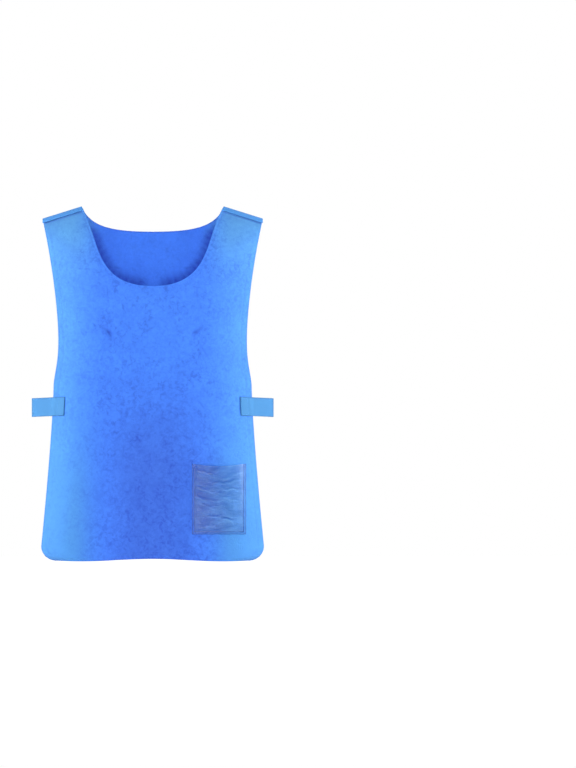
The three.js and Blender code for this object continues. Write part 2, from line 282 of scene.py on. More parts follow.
SEATS = np.array([
    # across, drop, spread across, spread down
    [70.0, 215.0, 34.0, 42.0],
    [95.0, 190.0, 40.0, 60.0],
    [30.0, 250.0, 30.0, 60.0],
    [60.0, 380.0, 35.0, 45.0],
    [20.0, 480.0, 22.0, 60.0],
    [30.0, 560.0, 30.0, 40.0],
    [150.0, 240.0, 20.0, 90.0],
    [110.0, 470.0, 45.0, 90.0],
])
ALIKE = np.vstack([np.array(MAIN_CREASES, float), small_creases(ALIKE_COUNT, SEATS)])
OWN = small_creases(OWN_COUNT, SEATS)
OWN[:, 0] *= np.where(rng.random(OWN_COUNT) < 0.5, -1, 1)


def grooves(rows, x, drop):
    """Each groove is -deep * exp(-s^4 - t^2), with s along it in half lengths and t across it in
    half widths, and has a low ridge beside it. It bends as a parabola."""
    total = np.zeros(x.shape)
    for across, down, length, width, turn, deep in rows:
        near = (np.abs(x - across) < length) & (np.abs(drop - down) < length)
        if not near.any():
            continue
        dx, dz = x[near] - across, drop[near] - down
        c, s = np.cos(np.radians(turn)), np.sin(np.radians(turn))
        lengthwise, sideways = (dx * c + dz * s) / (length / 2), (dz * c - dx * s) / (width / 2)
        sideways = sideways + 0.45 * np.sin(across + down) * lengthwise**2
        fade = np.exp(-(lengthwise**4))
        total[near] += deep * fade * (RIDGE_SHARE * bell(sideways - 1.9, 1) - bell(sideways, 1))
    return total


def crinkle(x, drop):
    """The height of all creases at a place, in mm."""
    return grooves(ALIKE, np.abs(x), drop) + grooves(OWN, x, drop)


print("creases:", len(ALIKE) + len(OWN))

# %% [markdown]
# ## Sheets of cloth
#
# Every piece is a closed sheet between an outer and an inner net of points. The net of
# points is made whole, as arrays, and a UV map in metres runs with it, so that the grain
# keeps its scale. Modifiers could thicken a single surface, but here a hem can be thicker
# than the cloth beside it.

# %% Sheets of cloth
def placed(name, data):
    """A new object in the scene."""
    piece = bpy.data.objects.new(name, data)
    bpy.context.scene.collection.objects.link(piece)
    return piece


def new_object(name, points, faces):
    """A smooth object from points in mm and four-sided faces."""
    mesh = bpy.data.meshes.new(name)
    mesh.from_pydata((points * MM).tolist(), [], faces.tolist())
    mesh.update()
    mesh.shade_smooth()
    piece = placed(name, mesh)
    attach(piece, "root")
    print(name, 2 * len(faces), "triangles")
    return piece


def closed_sheet(name, outer, inner, **marks):
    """An object from two nets of rows x columns points in mm, which run down and to the right
    as seen from outside, joined by a rim. Each of the marks, a value at every point of the
    outer and the inner net, goes to the attribute of its name."""
    rows, cols = outer.shape[:2]
    count = rows * cols
    at = np.arange(count).reshape(rows, cols)
    a, b, c, d = at[:-1, :-1], at[1:, :-1], at[1:, 1:], at[:-1, 1:]
    face = np.stack([a, b, c, d], -1).reshape(-1, 4)
    rim = np.r_[at[:-1, 0], at[-1, :-1], at[:0:-1, -1], at[0, :0:-1]]
    nxt = np.roll(rim, -1)
    edge = np.stack([nxt, rim, rim + count, nxt + count], -1)
    quads = np.vstack([face, face[:, ::-1] + count, edge])
    points = np.concatenate([outer.reshape(-1, 3), inner.reshape(-1, 3)])
    piece = new_object(name, points, quads)
    down = np.linalg.norm(np.diff(outer, axis=0), axis=2).mean(1)
    over = np.linalg.norm(np.diff(outer, axis=1), axis=2).mean(0)
    flat = np.stack(np.meshgrid(np.r_[0, np.cumsum(over)], np.r_[0, -np.cumsum(down)]), -1) * MM
    flat = np.concatenate([flat.reshape(-1, 2)] * 2)
    uv = piece.data.uv_layers.new(name="cloth")
    uv.data.foreach_set("uv", flat[quads.reshape(-1)].ravel())
    for key, values in marks.items():
        layer = piece.data.attributes.new(key, "FLOAT", "POINT")
        layer.data.foreach_set("value", values.astype(np.float32).ravel())
    return piece


def off_neckline(panel, x, drop, start=0.0):
    """The distance in mm to the neckline from its share start, as seen from the front."""
    off = np.full(x.shape, np.inf)
    for at, down in along(neckline(panel), np.linspace(start, 1, 120)):
        off = np.minimum(off, np.hypot(np.abs(x) - at, drop - down))
    return off


def to_edges(panel, x, drop):
    """Distances in mm from points to the neckline, the side edges and the hem."""
    neck = off_neckline(panel, x, drop)
    side = side_half(drop) - np.abs(x)
    hem = hem_drop(np.clip(x, -HEM_HALF, HEM_HALF)) - drop
    return neck, side, hem


def net_normals(points, side=1):
    """The outward directions of a net, from the cross product of its steps."""
    return unit(np.cross(np.gradient(points, axis=1), np.gradient(points, axis=0)) * side)


def drawn_in(edge, deep, reach):
    """How far a face draws in near the rim: a quarter of an ellipse, deep by reach."""
    return deep * (1 - np.sqrt(1 - (1 - np.clip(edge / reach, 0, 1)) ** 2))


# %% [markdown]
# ## The panels
#
# The net is closest at the edges, so that they can be rounded, and round the shoulder's
# ridge. The hem is turned, so it is a little thicker for ten millimetres, and the neckline
# is rolled over a narrow edge, which pulls small puckers into the cloth.

# %% The panels
EDGE_STEPS = np.array([0.0, 0.35, 0.9, 1.8])
HEM_WIDE, HEM_RAISED, SEAM_SUNK = 10.0, 0.35, 0.35
NECK_WIDE, NECK_ROLL, NECK_RAISED, PUCKER_WIDE, PUCKER_DEEP = 5.0, 3.2, 0.5, 5.0, 0.3
RIM_DRAWN, RIM_REACH, CALM_EDGE = 0.9, 1.2, 14.0
PLEAT_DEEP, PLEATS_WIDE = 0.5, 15.0


def spaced(start, stop, step):
    """Numbers about a step apart, with the edge's closer ones at the end."""
    tail = stop - EDGE_STEPS[::-1]
    inner = np.linspace(start, tail[0], max(2, int(round((tail[0] - start) / step)) + 1))
    return np.r_[inner, tail[1:]]


def panel_lines(step):
    """The shares of the columns and the side drops of the rows."""
    half = spaced(0.0, SHOULDER_HALF, step) / SHOULDER_HALF
    shares = np.r_[-half[:0:-1], half]
    turns = np.linspace(0, np.pi / 2, 16)
    ridge = SHOULDER_DROP + SHOULDER_ROUND * (1 - np.cos(turns))
    body = spaced(ridge[-1], CORNER_DROP, step)
    return shares, np.r_[ridge, body[1:]]


def puckers(panel, neck, x, drop):
    """Waves round the neckline, in a bell across its seam, strongest on its steep parts."""
    angle = np.arctan2(np.abs(x), drop - panel["neck_drop"] * 0.2)
    beat = (np.sin(angle * 75) + 0.6 * np.sin(angle * 43)) * smooth((np.abs(x) - 50) / 40)
    return bell(neck - NECK_WIDE, PUCKER_WIDE) * beat


def under_pocket(panel, x, drop):
    """1 under the pocket, falling to 0 a few millimetres outside it."""
    if panel["side"] > 0:
        return np.zeros(x.shape)
    middle = LENGTH - POCKET_ABOVE_HEM - POCKET_HEIGHT / 2
    across = smooth((POCKET_WIDTH / 2 + 6 - np.abs(x - POCKET_MIDDLE)) / 6)
    return across * smooth((POCKET_HEIGHT / 2 + 6 - np.abs(drop - middle)) / 6)


def pleats_and_painted_shadow(panel, x, drop):
    """(height in mm, painted shadow 0 to 1) of the small pleats on the back, which fan out from a line
    as low as the front's neckline: the sine of an angle, in a bell across that line. The shadow is
    the front neckline's, painted on the inside of the back, with painted shade away from the middle."""
    if panel["side"] < 0:
        return np.zeros(x.shape), np.zeros(x.shape)
    off = off_neckline(FRONT, x, drop, 0.12)
    angle = np.arctan2(x, drop - 10)
    beat = 0.5 + 0.35 * np.sin(61 * angle) + 0.15 * np.sin(97 * angle + 1)
    near = bell(off, PLEATS_WIDE) * smooth((drop - 22) / 25)
    # Painted shade on the inside of the back, away from the middle.
    sides = 0.28 * smooth((np.abs(x) - 15) / 60)
    return -PLEAT_DEEP * near * beat, np.maximum(near * (1.15 + 0.55 * beat), sides)


def cloth_height(panel, x, drop):
    """How far the cloth's outer face stands over the smooth form: creases, hems and puckers."""
    neck, side, hem = to_edges(panel, x, drop)
    outer_edge = np.minimum(side, hem)
    edge = np.minimum(neck, outer_edge)
    turned = HEM_RAISED * smooth((HEM_WIDE - outer_edge) / 1.5)
    rolled = NECK_RAISED * smooth(NECK_ROLL - neck)
    sunk = SEAM_SUNK * bell(outer_edge - HEM_WIDE, 1.3)
    sunk = sunk + PUCKER_DEEP * puckers(panel, neck, x, drop) + drawn_in(edge, RIM_DRAWN, RIM_REACH)
    calm = smooth((edge - 3) / CALM_EDGE) * smooth((drop - ridge_drop(x) - 30) / 30)
    calm = calm * (1 - 0.75 * under_pocket(panel, x, drop))
    return crinkle(x, drop) * calm + turned + rolled - sunk


def shade_lines(panel, x, drop):
    """Painted shade on the outer face, darker than its height tells: along the side and hem edges, in the
    puckers, and a painted shadow in the fold under the shoulder band's edge."""
    neck, side, hem = to_edges(panel, x, drop)
    reach = BAND_FRONT if panel["side"] < 0 else BAND_BACK
    under = drop - ridge_drop(x) - SHOULDER_ROUND * (1 - np.cos(reach / SHOULDER_ROUND)) - 0.9
    rim = 0.75 * bell(np.minimum(side, hem), 1.5)
    ticks = 0.4 * puckers(panel, neck, x, drop)
    fold = 0.9 * bell(under, 1.4) * (np.abs(x) > NECK_HALF - 12)
    return np.maximum(rim, fold) + np.maximum(ticks, 0)


def kept_apart(panel, points):
    """The points, with those of the ridge half the clearance short of the other panel."""
    points[..., 1] = panel["side"] * np.maximum(CLEARANCE / 2, panel["side"] * points[..., 1])
    return points


def cloth_panel(name, panel, step):
    """A panel's outer face, its inner face a cloth's thickness in, and the painted shade on each."""
    shares, drops = panel_lines(step)
    x, drop = panel_net(panel, shares, drops)
    points = face_at(panel, x, drop)
    normal = net_normals(points, panel["side"])
    on_ridge = np.abs(shares) >= NECK_SHARE - 1e-9
    normal[0, on_ridge, 1] = 0
    normal = unit(normal)
    height = cloth_height(panel, x, drop)
    outer = kept_apart(panel, points + normal * height[..., None])
    edge = np.minimum.reduce(to_edges(panel, x, drop))
    creases = crinkle(x, drop)
    pleats, shade = pleats_and_painted_shadow(panel, x, drop)
    # Painted shade along the edges of the inner face.
    shade = np.maximum(shade, 0.8 * bell(edge, 1.7))
    inside = creases * smooth((edge - 3) / CALM_EDGE) - pleats - CLOTH
    inside = inside + drawn_in(edge, RIM_DRAWN, RIM_REACH)
    inner = kept_apart(panel, points + normal * inside[..., None])
    # Painted shade: the marks above, and darker in the creases' grooves.
    dents = np.stack([shade_lines(panel, x, drop), shade]) - creases
    if panel["side"] > 0:
        outer, inner, dents = outer[:, ::-1], inner[:, ::-1], dents[:, :, ::-1]
    piece = closed_sheet(name + "_cloth", outer, inner, dents=dents)
    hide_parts(name)
    return piece


STEP = 2.4
front = cloth_panel("front_panel", FRONT, STEP)
back = cloth_panel("back_panel", BACK, STEP * 1.3)

# %% [markdown]
# ## Bands and straps
#
# These are strips with rounded edges. A strip is a net of points, their outward directions
# and their distances from its edge. The shoulder band follows the ridge. The side strap lies
# on the edge of the front, bows out past it and comes back onto the edge of the back.

# %% Bands and straps
def strip(name, points, normal, lift, thick, edge, relief, **marks):
    """A sheet that stands lift off the points, with half-round edges and relief outside."""
    draw = drawn_in(edge, thick / 2, thick / 2)
    outer = points + normal * (lift + thick - draw + relief)[..., None]
    inner = points + normal * (lift + draw)[..., None]
    return closed_sheet(name, outer, inner, **marks)


def between(length, step):
    """Numbers from 0 to length, closer at both ends."""
    close = np.array([0.0, 0.25, 0.6, 1.1])
    inner = np.linspace(close[-1], length - close[-1], max(3, int(round(length / step))))
    return np.r_[close[:-1], inner, length - close[-2::-1]]


def edges(a, b):
    """The distance to the nearest edge of a flat strip, from its places down (a) and across (b)."""
    a, b = np.meshgrid(np.minimum(a, a[-1] - a), np.minimum(b, b[-1] - b), indexing="ij")
    return np.minimum(a, b)


LIFT = CLEARANCE + 0.45
BAND_SEAM, STRAP_SEAM, ROW_WIDE, ROW_DEEP, STITCH_SUNK = 3.2, 2.4, 0.7, 0.25, 0.2
BAND_LENGTH = np.hypot(SHOULDER_HALF - NECK_HALF, SHOULDER_DROP)


def over_shoulder(side, s, t):
    """Points of the shoulder's ridge: s mm from the neck's edge, t mm round it, less than 0 at
    the back. The neck's end follows the neckline."""
    s, t = np.broadcast_arrays(s, t)
    turn = t / SHOULDER_ROUND
    below = SHOULDER_ROUND * (1 - np.cos(turn))
    share = s / BAND_LENGTH
    points = np.empty(s.shape + (3,))
    for panel, here in ((BACK, turn < 0), (FRONT, turn >= 0)):
        curve = neckline(panel)[::-1]
        neck_x = np.interp(below, curve[:, 1], curve[:, 0])
        x = blend(neck_x, SHOULDER_HALF + 0 * below, share)
        start = ridge_drop(np.maximum(x, NECK_HALF))
        found = face_at(panel, x, np.maximum(start + below, ridge_drop(x)))
        points[here] = found[here]
    points[..., 0] *= side
    return points


def shoulder_band(name, side):
    """A strip over the ridge, with a seam's groove along its front and its rear edge."""
    t = -BAND_BACK + between(BAND_BACK + BAND_FRONT, 1.2)
    s = between(BAND_LENGTH, 1.6)
    points = over_shoulder(side, s[None, :], t[:, None])
    if side < 0:
        points = points[:, ::-1]
    normal = net_normals(points)
    normal *= np.sign(normal[..., 2:3].mean())
    edge = edges(t - t[0], s)
    high = np.minimum(t - t[0], t[-1] - t)[:, None]
    relief = -ROW_DEEP * bell(high - BAND_SEAM, ROW_WIDE) + 0 * edge
    band = strip(name + "_strip", points, normal, LIFT + 0 * edge, BAND_CLOTH, edge, relief)
    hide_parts(name)
    return band


STRAP_SAG, STRAP_PRESSED, RIM_WIDE, FOLD_WIDE = 2.6, 1.1, 1.1, 7.0
STRAP_BOX = STRAP_SEWN - 2
STRAP_FOLD = float(side_half(STRAP_TOP + STRAP_HEIGHT / 2)) + STRAP_BOW


def strap_line(drop):
    """The strap's line at one drop: on the front's edge, out in a bow, on the back's edge.
    It sags evenly from its sewn ends to the fold."""
    half = side_half(drop)
    lines = {}
    for panel in (FRONT, BACK):
        x = half - STRAP_SEWN * (1 - np.linspace(0, 1, 12))
        d = np.full(x.shape, float(drop))
        p = face_at(panel, x, d) + outward_at(panel, x - 0.6, d) * (LIFT + STRAP_CLOTH / 2)
        lines[panel["side"]] = p
    a, b = lines[-1][-1], lines[1][-1]
    top = np.array([STRAP_FOLD, (a[1] + b[1]) / 2, TOP - drop])
    bulge = top[0] - a[0]
    t = np.linspace(0, 1, 25)[1:, None]
    bows = []
    for p, sign in ((a, 1), (b, -1)):
        q = p + np.array([0.4 * bulge, sign * 0.42 * bulge, 0])
        r = top - np.array([0, sign * 0.5 * bulge, 0])
        bows.append(cubic(p, q, r, top, t))
    line = np.vstack([lines[-1], bows[0], bows[1][-2::-1], lines[1][::-1]])
    line[:, 2] -= STRAP_SAG * (line[:, 0] - half + STRAP_SEWN) / (STRAP_SEWN + STRAP_BOW)
    return along(line, np.linspace(0, 1, 90))


def side_strap(name, side):
    """A strap with a box of seams pressed into each sewn end, and painted shade at its edges and fold."""
    down = between(STRAP_HEIGHT, 1.6)
    rows = np.stack([strap_line(STRAP_TOP + d) for d in down])
    length = travelled(rows[0])[-1]
    over = between(length, 1.6)
    rows = np.stack([along(row, over / length) for row in rows])
    normal = net_normals(rows)
    if side < 0:
        rows, normal = rows * [-1, 1, 1], normal * [-1, 1, 1]
        rows, normal = rows[:, ::-1], normal[:, ::-1]
    if (normal[..., 0].mean() > 0) != (side > 0):
        normal = -normal
    edge = edges(down, over)
    sewn = np.minimum(over, length - over)[None, :]
    high = np.minimum(down, STRAP_HEIGHT - down)[:, None]
    box = np.minimum(np.minimum(sewn, high), np.abs(STRAP_BOX - sewn))
    pressed = STRAP_PRESSED * smooth((STRAP_SEWN + 2 - sewn) / 6)
    relief = -ROW_DEEP * bell(box - STRAP_SEAM, ROW_WIDE) * (sewn < STRAP_SEWN) - pressed
    # Painted shade along the top and bottom edges and at the fold, where the strap turns away.
    fold = bell(over - length / 2, FOLD_WIDE)[None, :]
    rims = np.stack([np.maximum(bell(high, RIM_WIDE), fold)] * 2)
    lift = -STRAP_CLOTH / 2 + 0 * edge
    strap = strip(name + "_strip", rows, normal, lift, STRAP_CLOTH, edge, relief, rims=rims)
    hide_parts(name)
    return strap


bands = [shoulder_band("shoulder_band_left", 1), shoulder_band("shoulder_band_right", -1)]
straps = [side_strap("side_strap_left", 1), side_strap("side_strap_right", -1)]
STRAP_LENGTH = float(travelled(strap_line(STRAP_TOP + STRAP_HEIGHT / 2))[-1])
print("strap length:", round(STRAP_LENGTH, 1), "mm")

# %% [markdown]
# ## The pocket
#
# The pocket is a see-through film, sewn twice along its sides and its bottom. Film creases
# sharply and from side to side, so each crease is a crooked line across the pocket, and its
# ridge stands beside its groove.

# %% The pocket
POCKET_STAND, POCKET_MARGIN, POCKET_SEAM, FILM_THICK = 1.1, 4.4, 1.6, 0.7 * POCKET_FILM
film_rng = np.random.default_rng(23)
FILM_CREASES = [
    # down, left, right, slope, deep
    (0.11, 0.03, 0.5, 0.2, 0.6),
    (0.05, 0.3, 0.7, 0.05, 0.4),
    (0.13, 0.45, 0.98, -0.04, 0.4),
    (0.24, 0.3, 0.85, -0.06, 0.7),
    (0.31, 0.45, 0.98, 0.02, 0.6),
    (0.35, 0.05, 0.4, 0.16, 0.9),
    (0.38, 0.35, 0.7, -0.1, 0.6),
    (0.47, 0.02, 0.38, 0.3, 1.0),
    (0.52, 0.28, 0.55, -0.08, 0.7),
    (0.47, 0.5, 0.98, 0.05, 0.4),
    (0.6, 0.1, 0.5, 0.1, 0.4),
    (0.72, 0.25, 0.62, -0.06, 0.7),
    (0.78, 0.5, 0.85, 0.16, 0.9),
    (0.8, 0.7, 0.92, -0.3, 0.6),
    (0.88, 0.1, 0.5, -0.05, 0.4),
]
FILM_LINES = [
    film_rng.normal(0, 1.3, 15).cumsum() + film_rng.normal(0, 1.3, 15) for _ in FILM_CREASES
]


def film_height(across, down):
    """The film's creases: crooked lines that fade at both ends, each a groove with a ridge
    under it, as one bell less another."""
    total = np.zeros(across.shape)
    for (at, left, right, slope, deep), line in zip(FILM_CREASES, FILM_LINES):
        wander = np.interp(across, np.linspace(0, 1, len(line)), line - line.mean())
        off = (down - at - slope * (across - (left + right) / 2)) * POCKET_HEIGHT - wander
        fade = smooth((across - left) / 0.15) * smooth((right - across) / 0.15)
        total += deep * fade * (0.5 * bell(off - 2.8, 2.4) - bell(off, 1.7))
    return total


def pocket_point(across, down):
    """(point, outward) of the cloth's smooth face behind a place on the pocket."""
    bow = np.sin(np.pi * across)
    bottom = LENGTH - POCKET_ABOVE_HEM
    drop = blend(bottom - POCKET_HEIGHT + POCKET_DIP * bow, bottom, down)
    x = POCKET_MIDDLE + POCKET_WIDTH * (across - 0.5)
    return face_at(FRONT, x, drop), outward_at(FRONT, x, drop)


def pocket_lift(across, down):
    """How far the film's inner face stands off the smooth cloth: least at the sewn edges."""
    gape = POCKET_GAPE * np.sin(np.pi * across) * (1 - down) ** 2
    side = np.minimum(across, 1 - across) * POCKET_WIDTH
    inside = smooth((np.minimum(side, (1 - down) * POCKET_HEIGHT) - POCKET_MARGIN) / 6)
    return POCKET_STAND + gape + inside * (0.4 + 0.6 * film_height(across, down))


def film_pocket(step):
    """The film, thicker and clearer where it is turned and sewn, and cloudy at its seams."""
    down, over = between(POCKET_HEIGHT, step), between(POCKET_WIDTH, step)
    v, u = np.meshgrid(down / POCKET_HEIGHT, over / POCKET_WIDTH, indexing="ij")
    points, normal = pocket_point(u, v)
    edge = edges(down, over)
    side = np.minimum(np.minimum(u, 1 - u) * POCKET_WIDTH, (1 - v) * POCKET_HEIGHT)
    relief = 0.35 * smooth((POCKET_MARGIN + 0.6 - side) / 0.6) - 0.3 * bell(side - POCKET_SEAM, 0.6)
    sewn_line = bell(side - POCKET_MARGIN, 0.6) + 0.8 * bell(edge - 0.4, 0.6) * (side < 2)
    # Darker along the seam lines, and painted shade in the creases' grooves.
    dents = np.stack([sewn_line - film_height(u, v)] * 2)
    cover = 0.32 - 0.2 * smooth((POCKET_MARGIN + 0.3 - side) / 0.8) + 0.35 * np.clip(sewn_line, 0, 1)
    film = strip("pocket_film", points, normal, pocket_lift(u, v), FILM_THICK, edge, relief,
                 dents=dents, cover=np.stack([cover] * 2))
    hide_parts("pocket")
    return film


pocket = film_pocket(1.1)

# %% [markdown]
# ## Stitches
#
# A stitch is a short length of thread that rises out of the cloth, arches over it and goes
# back in. All stitches of a seam are one mesh, made at once from the points and directions
# of the line that they follow.

# %% Stitches
THREAD, PITCH = 0.24, 3.0


def on_cloth(panel, x, drop):
    """Points on the cloth's outer face with its creases, and the outward directions."""
    n = outward_at(panel, x, drop)
    return face_at(panel, x, drop) + n * cloth_height(panel, x, drop)[..., None], n


def stitches(name, lines, radius=THREAD, pitch=PITCH):
    """Arched threads along lines of (points, outward directions): a tube's centre is at
    middle + along * 0.37 * s * pitch + outward * radius * (1.1 - 2.2 * s^2), with s from -1 to 1."""
    s = np.linspace(-1, 1, 6)
    ring = np.linspace(0, 2 * np.pi, 6, endpoint=False)
    meshes, quads, start = [], [], 0
    for points, normal in lines:
        gone = travelled(points)
        places = np.arange(pitch / 2, gone[-1], pitch)
        if not len(places):
            continue
        middle, up = at_places(points, gone, places), at_places(normal, gone, places)
        way = unit(at_places(points, gone, places + 0.5) - at_places(points, gone, places - 0.5))
        up = unit(up - way * (up * way).sum(1, keepdims=True))
        beside = np.cross(way, up)
        rise = up[:, None] * (radius * (1.1 - 2.2 * s**2))[:, None]
        centre = middle[:, None] + way[:, None] * (s * pitch * 0.37)[:, None] + rise
        thick = radius * np.sqrt(np.clip(1.05 - s**4, 0, 1))
        around = beside[:, None, None] * np.cos(ring)[:, None]
        around = around + up[:, None, None] * np.sin(ring)[:, None]
        tube = centre[:, :, None] + around * thick[None, :, None, None]
        meshes.append(tube.reshape(-1, 3))
        at = start + np.arange(tube[..., 0].size).reshape(tube.shape[:3])
        a, b = at[:, :-1], at[:, 1:]
        side_quads = np.stack([a, b, np.roll(b, -1, 2), np.roll(a, -1, 2)], -1)
        quads.append(side_quads.reshape(-1, 4))
        for end in (at[:, 0, ::-1], at[:, -1]):
            quads += [end[:, [0, 1, 2, 3]], end[:, [0, 3, 4, 5]]]
        start += tube[..., 0].size
    return new_object(name, np.vstack(meshes), np.vstack(quads)[:, ::-1])


def inset(curve, by):
    """A line seen from the front, moved by mm to its left as it runs."""
    way = unit(np.gradient(curve, axis=0))
    return curve + by * np.stack([way[:, 1], -way[:, 0]], -1)


def hem_line():
    """From one shoulder down a side, round the corners and along the hem, and up to the other."""
    drops = np.linspace(SHOULDER_DROP + 16, CORNER_DROP, 500)
    right = np.stack([side_half(drops), drops], -1)
    x = np.linspace(CORNER_HALF, -CORNER_HALF, 500)[1:-1]
    curve = np.vstack([right, np.stack([x, hem_drop(x)], -1), (right * [-1, 1])[::-1]])
    return inset(along(curve, np.linspace(0, 1, 1500)), -HEM_WIDE)


def neck_line(panel):
    """Round the neckline, from the foot of one shoulder band to the other's."""
    curve = neckline(panel)
    whole = np.vstack([(curve * [-1, 1])[::-1], curve[1:]])
    inner = inset(along(whole, np.linspace(0, 1, 900)), -NECK_WIDE)
    return inner[inner[:, 1] - ridge_drop(inner[:, 0]) > 8]


def seam(panel, curve):
    """The parts of a line on the cloth outside the straps, each as (points, directions)."""
    points, normal = on_cloth(panel, curve[:, 0], curve[:, 1])
    keep = (curve[:, 1] <= STRAP_TOP - 2) | (curve[:, 1] >= STRAP_TOP + STRAP_HEIGHT + 2)
    cuts = np.flatnonzero(np.diff(keep.astype(int))) + 1
    parts = zip(np.split(points, cuts), np.split(normal, cuts), np.split(keep, cuts))
    return [(p, n) for p, n, kept in parts if kept[0] and len(p) > 3]


hem_seams = seam(FRONT, hem_line()) + seam(BACK, hem_line())
hem_stitches = stitches("hem_stitches", hem_seams)
neck_seams = seam(FRONT, neck_line(FRONT)) + seam(BACK, neck_line(BACK))
neck_stitches = stitches("neck_stitches", neck_seams)

# %% [markdown]
# The bands, straps and pocket have their own rows of stitches, on their outer faces.

# %% Stitches on the bands, straps and pocket
def band_lines(side):
    """A row along the front and the rear edge of a shoulder band."""
    lines = []
    for t in (-BAND_BACK + BAND_SEAM, BAND_FRONT - BAND_SEAM):
        s = np.linspace(3, BAND_LENGTH - 3, 80)
        p = over_shoulder(side, s, np.full(s.shape, t))
        down = over_shoulder(side, s, np.full(s.shape, t + 0.5)) - p
        n = np.cross(np.gradient(p, axis=0), down)
        n = unit(n * np.sign(n[:, 2:3]))
        lines.append((p + n * (LIFT + BAND_CLOTH - STITCH_SUNK), n))
    return lines


def strap_lines(side):
    """The box of stitches on each sewn end of a strap."""
    whole = travelled(strap_line(STRAP_TOP))[-1]
    near, far, low = STRAP_SEAM, STRAP_BOX - STRAP_SEAM, STRAP_HEIGHT - STRAP_SEAM
    box = [(near, near), (far, near), (far, low), (near, low), (near, near)]
    lines = []
    for back_end in (False, True):
        for (a, c), (b, d) in zip(box, box[1:]):
            s = np.linspace(a, b, 30) / whole
            s = 1 - s if back_end else s
            drops = STRAP_TOP + np.linspace(c, d, 30)
            pairs = [along(strap_line(h), np.array([f, f + 0.004])) for h, f in zip(drops, s)]
            p, q = np.array(pairs).transpose(1, 0, 2)
            way = q - p
            n = unit(np.stack([way[:, 1], -way[:, 0], 0 * way[:, 0]], -1))
            p = p + n * (STRAP_CLOTH / 2 - STRAP_PRESSED - STITCH_SUNK)
            lines.append((p * [side, 1, 1], n * [side, 1, 1]))
    return lines


def pocket_lines():
    """Two rows down one side of the pocket, along its bottom and up its other side."""
    lines = []
    for inset_by in (POCKET_SEAM, POCKET_MARGIN):
        u, v = inset_by / POCKET_WIDTH, inset_by / POCKET_HEIGHT
        path = np.array([(u, 0.01), (u, 1 - v), (1 - u, 1 - v), (1 - u, 0.01)])
        for (a, c), (b, d) in zip(path, path[1:]):
            across, down = np.linspace(a, b, 120), np.linspace(c, d, 120)
            p, n = pocket_point(across, down)
            lines.append((p + n * (pocket_lift(across, down) + FILM_THICK + 0.1)[:, None], n))
    return lines


band_stitches = stitches("band_stitches", band_lines(1) + band_lines(-1), radius=0.16, pitch=2.6)
strap_stitches = stitches("strap_stitches", strap_lines(1) + strap_lines(-1), pitch=2.4)
pocket_stitches = stitches("pocket_stitches", pocket_lines(), radius=0.2, pitch=2.6)
for thread in (hem_stitches, neck_stitches):
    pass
for thread in (band_stitches, strap_stitches, pocket_stitches):
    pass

# %% [markdown]
# ## Materials
#
# The cloth is a chamois: felted, with fine pores and a soft nap, a little mottled, most low in the
# middle. Painted light makes it paler at the sides and on the shoulders, and painted shade darkens it
# low in the middle, in the creases and hollows, along its edges and round the neckline. Its grain is
# one node group that the cloth, the bands, the straps and the film share. Colours are linear.

# %% Materials
def group(name, inputs, outputs):
    """A new node group with float inputs {name: default} and the named outputs."""
    tree = bpy.data.node_groups.new(name, "ShaderNodeTree")
    for key, value in inputs.items():
        socket = tree.interface.new_socket(key, in_out="INPUT", socket_type="NodeSocketFloat")
        socket.default_value = value
    for key in outputs:
        tree.interface.new_socket(key, in_out="OUTPUT", socket_type="NodeSocketFloat")
    return tree, tree.nodes.new("NodeGroupInput"), tree.nodes.new("NodeGroupOutput")


def feed(tree, socket, value):
    """Set a socket to a number or a colour, or link another node's output to it."""
    if isinstance(value, (int, float)):
        socket.default_value = value
    elif isinstance(value, tuple):
        socket.default_value = (*value, 1.0)
    else:
        tree.links.new(value, socket)


def feed_all(tree, node, values):
    for key, value in values.items():
        feed(tree, node.inputs[key], value)


def coords(tree, kind):
    """Where a point is: Object from the vest's origin, or UV on the flat cloth, in metres."""
    return tree.nodes.new("ShaderNodeTexCoord").outputs[kind]


def parted(tree, vector):
    n = tree.nodes.new("ShaderNodeSeparateXYZ")
    tree.links.new(vector, n.inputs[0])
    return n.outputs


def mark(tree, name):
    """The marks of a closed sheet that have this name."""
    n = tree.nodes.new("ShaderNodeAttribute")
    n.attribute_name = name
    return n.outputs["Fac"]


def noise(tree, where, scale, detail=3.0, rough=0.55, distortion=0.0):
    n = tree.nodes.new("ShaderNodeTexNoise")
    feed_all(tree, n, {"Vector": where, "Scale": scale, "Detail": detail})
    feed_all(tree, n, {"Roughness": rough, "Distortion": distortion})
    return n.outputs["Fac"]


def maths(tree, kind, a, b=0.0):
    n = tree.nodes.new("ShaderNodeMath")
    n.operation = kind
    feed(tree, n.inputs[0], a)
    feed(tree, n.inputs[1], b)
    return n.outputs[0]


def times(tree, a, b):
    return maths(tree, "MULTIPLY", a, b)


def weighed(tree, a, b, share):
    """share * a + (1 - share) * b."""
    return maths(tree, "ADD", times(tree, a, share), times(tree, b, 1 - share))


def remap(tree, value, low, high, to_low=0.0, to_high=1.0, kind="LINEAR"):
    n = tree.nodes.new("ShaderNodeMapRange")
    n.interpolation_type = kind
    feed_all(tree, n, {"Value": value, "From Min": low, "From Max": high})
    feed_all(tree, n, {"To Min": to_low, "To Max": to_high})
    return n.outputs["Result"]


def soft_step(tree, value, low, high):
    """Smoothly from 0 at low to 1 at high."""
    return remap(tree, value, low, high, kind="SMOOTHSTEP")


